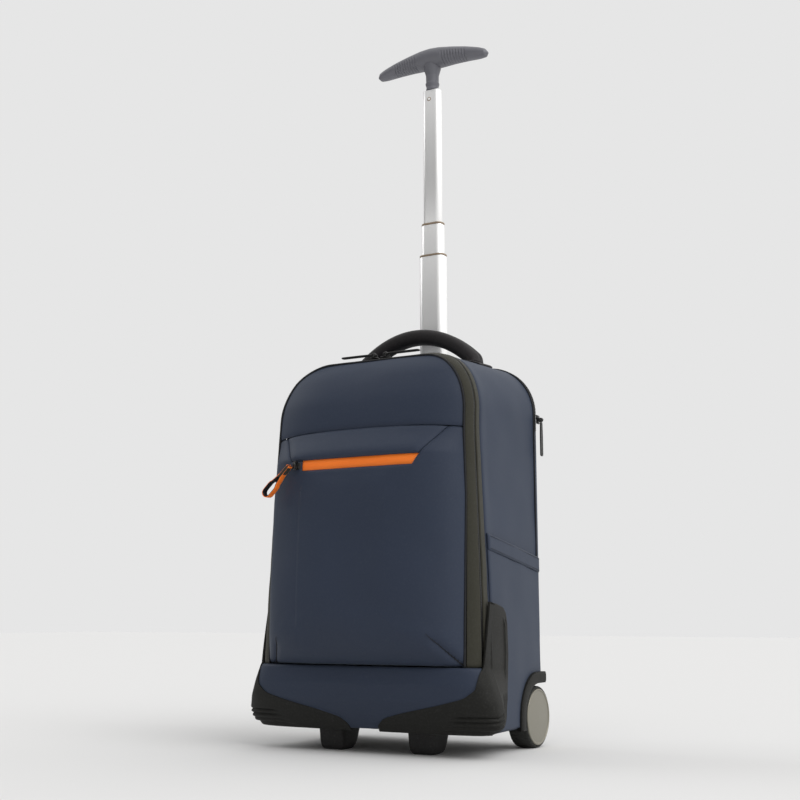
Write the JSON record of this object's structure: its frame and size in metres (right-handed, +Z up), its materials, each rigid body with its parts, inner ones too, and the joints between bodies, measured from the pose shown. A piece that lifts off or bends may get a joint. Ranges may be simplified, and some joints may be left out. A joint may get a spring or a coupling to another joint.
{
  "type": "wheeled backpack",
  "caption": "Soft wheeled backpack with a telescopic trolley handle, moulded corner guards, feet, wheels and a padded carry handle.",
  "frame": {"origin": "on the ground under the middle of the bag's footprint", "axes": "+Z up along the trolley handle, the front panels face -Y, the wheels are at the +Y side, +X is to the right of someone who looks at the front"},
  "size_m": [0.3514, 0.2558, 0.9868],
  "materials": {
    "navy_cloth": "smooth coated cloth with a soft sheen",
    "black_cloth": "warm black woven tape",
    "zip_tape": "black coated zip tape",
    "orange_trim": "matt orange coated tape",
    "moulded_black": "satin moulded",
    "slider_metal": "black coated",
    "tube_metal": "satin champagne anodised",
    "grip_plastic": "satin, ribbed below",
    "wheel_disc": "warm grey satin metallic",
    "tyre_rubber": "matt, with a fine tread"
  },
  "bodies": {
    "root": {"side_shell": "navy_cloth", "back_panel": "navy_cloth", "base_tray": "moulded_black", "gusset_front": "black_cloth", "main_zip": "zip_tape", "gusset_rear": "black_cloth", "top_panel": "navy_cloth", "yoke_panel": "navy_cloth", "pocket_panel": "navy_cloth", "zip_flash": "orange_trim", "toe_panel": "navy_cloth", "corner_guard_left": "moulded_black", "corner_guard_right": "moulded_black", "foot_left": "moulded_black", "foot_right": "moulded_black", "wheel_housing_left": "moulded_black", "wheel_housing_right": "moulded_black", "side_pocket_left": "navy_cloth", "pocket_hem_left": "navy_cloth", "side_pocket_right": "navy_cloth", "pocket_hem_right": "navy_cloth", "rear_zip": "zip_tape", "top_left_slider": "slider_metal", "top_right_slider": "slider_metal", "rear_slider": "slider_metal", "pocket_slider": "slider_metal", "pocket_pull": "orange_trim", "carry_handle": "black_cloth", "handle_anchor_left": "black_cloth", "handle_anchor_right": "black_cloth", "trolley_sleeve": "moulded_black", "trolley_collar": "moulded_black"},
    "wheel_left": {"tyre_left": "tyre_rubber", "wheel_hub_left": "wheel_disc"},
    "wheel_right": {"tyre_right": "tyre_rubber", "wheel_hub_right": "wheel_disc"},
    "stage_outer": {"tube_outer": "tube_metal", "rim_outer": "slider_metal"},
    "stage_middle": {"tube_middle": "tube_metal", "rim_middle": "slider_metal"},
    "stage_inner": {"tube_inner": "tube_metal", "grip": "grip_plastic", "tube_rivet": "tube_metal"},
    "pull_top_left": {"top_left_pull": "slider_metal"},
    "pull_top_right": {"top_right_pull": "slider_metal"},
    "pull_rear": {"rear_pull": "slider_metal"}
  },
  "joints": [
    {"name": "wheel_left_spin", "type": "hinge", "parent": "root", "child": "wheel_left", "pos_m": [-0.1419, 0.08939, 0.0385], "axis": [1, 0, 0], "continuous": true},
    {"name": "wheel_right_spin", "type": "hinge", "parent": "root", "child": "wheel_right", "pos_m": [0.1419, 0.08939, 0.0385], "axis": [1, 0, 0], "continuous": true},
    {"name": "handle_outer_slide", "type": "slide", "parent": "root", "child": "stage_outer", "axis": [0, 0, 1], "range_m": [-0.158, 0]},
    {"name": "handle_middle_slide", "type": "slide", "parent": "stage_outer", "child": "stage_middle", "axis": [0, 0, 1], "range_m": [-0.044, 0]},
    {"name": "handle_inner_slide", "type": "slide", "parent": "stage_middle", "child": "stage_inner", "axis": [0, 0, 1], "range_m": [-0.195, 0]},
    {"name": "top_left_pull_hinge", "type": "hinge", "parent": "root", "child": "pull_top_left", "pos_m": [-0.013, -0.0414, 0.5032], "axis": [0, 1, 0], "range_deg": [0, 90]},
    {"name": "top_right_pull_hinge", "type": "hinge", "parent": "root", "child": "pull_top_right", "pos_m": [0.005, -0.0414, 0.5032], "axis": [0, -1, 0], "range_deg": [0, 90]},
    {"name": "rear_pull_hinge", "type": "hinge", "parent": "root", "child": "pull_rear", "pos_m": [0.1545, 0.11735, 0.4259], "axis": [0, -1, 0], "range_deg": [0, 120]}
  ]
}
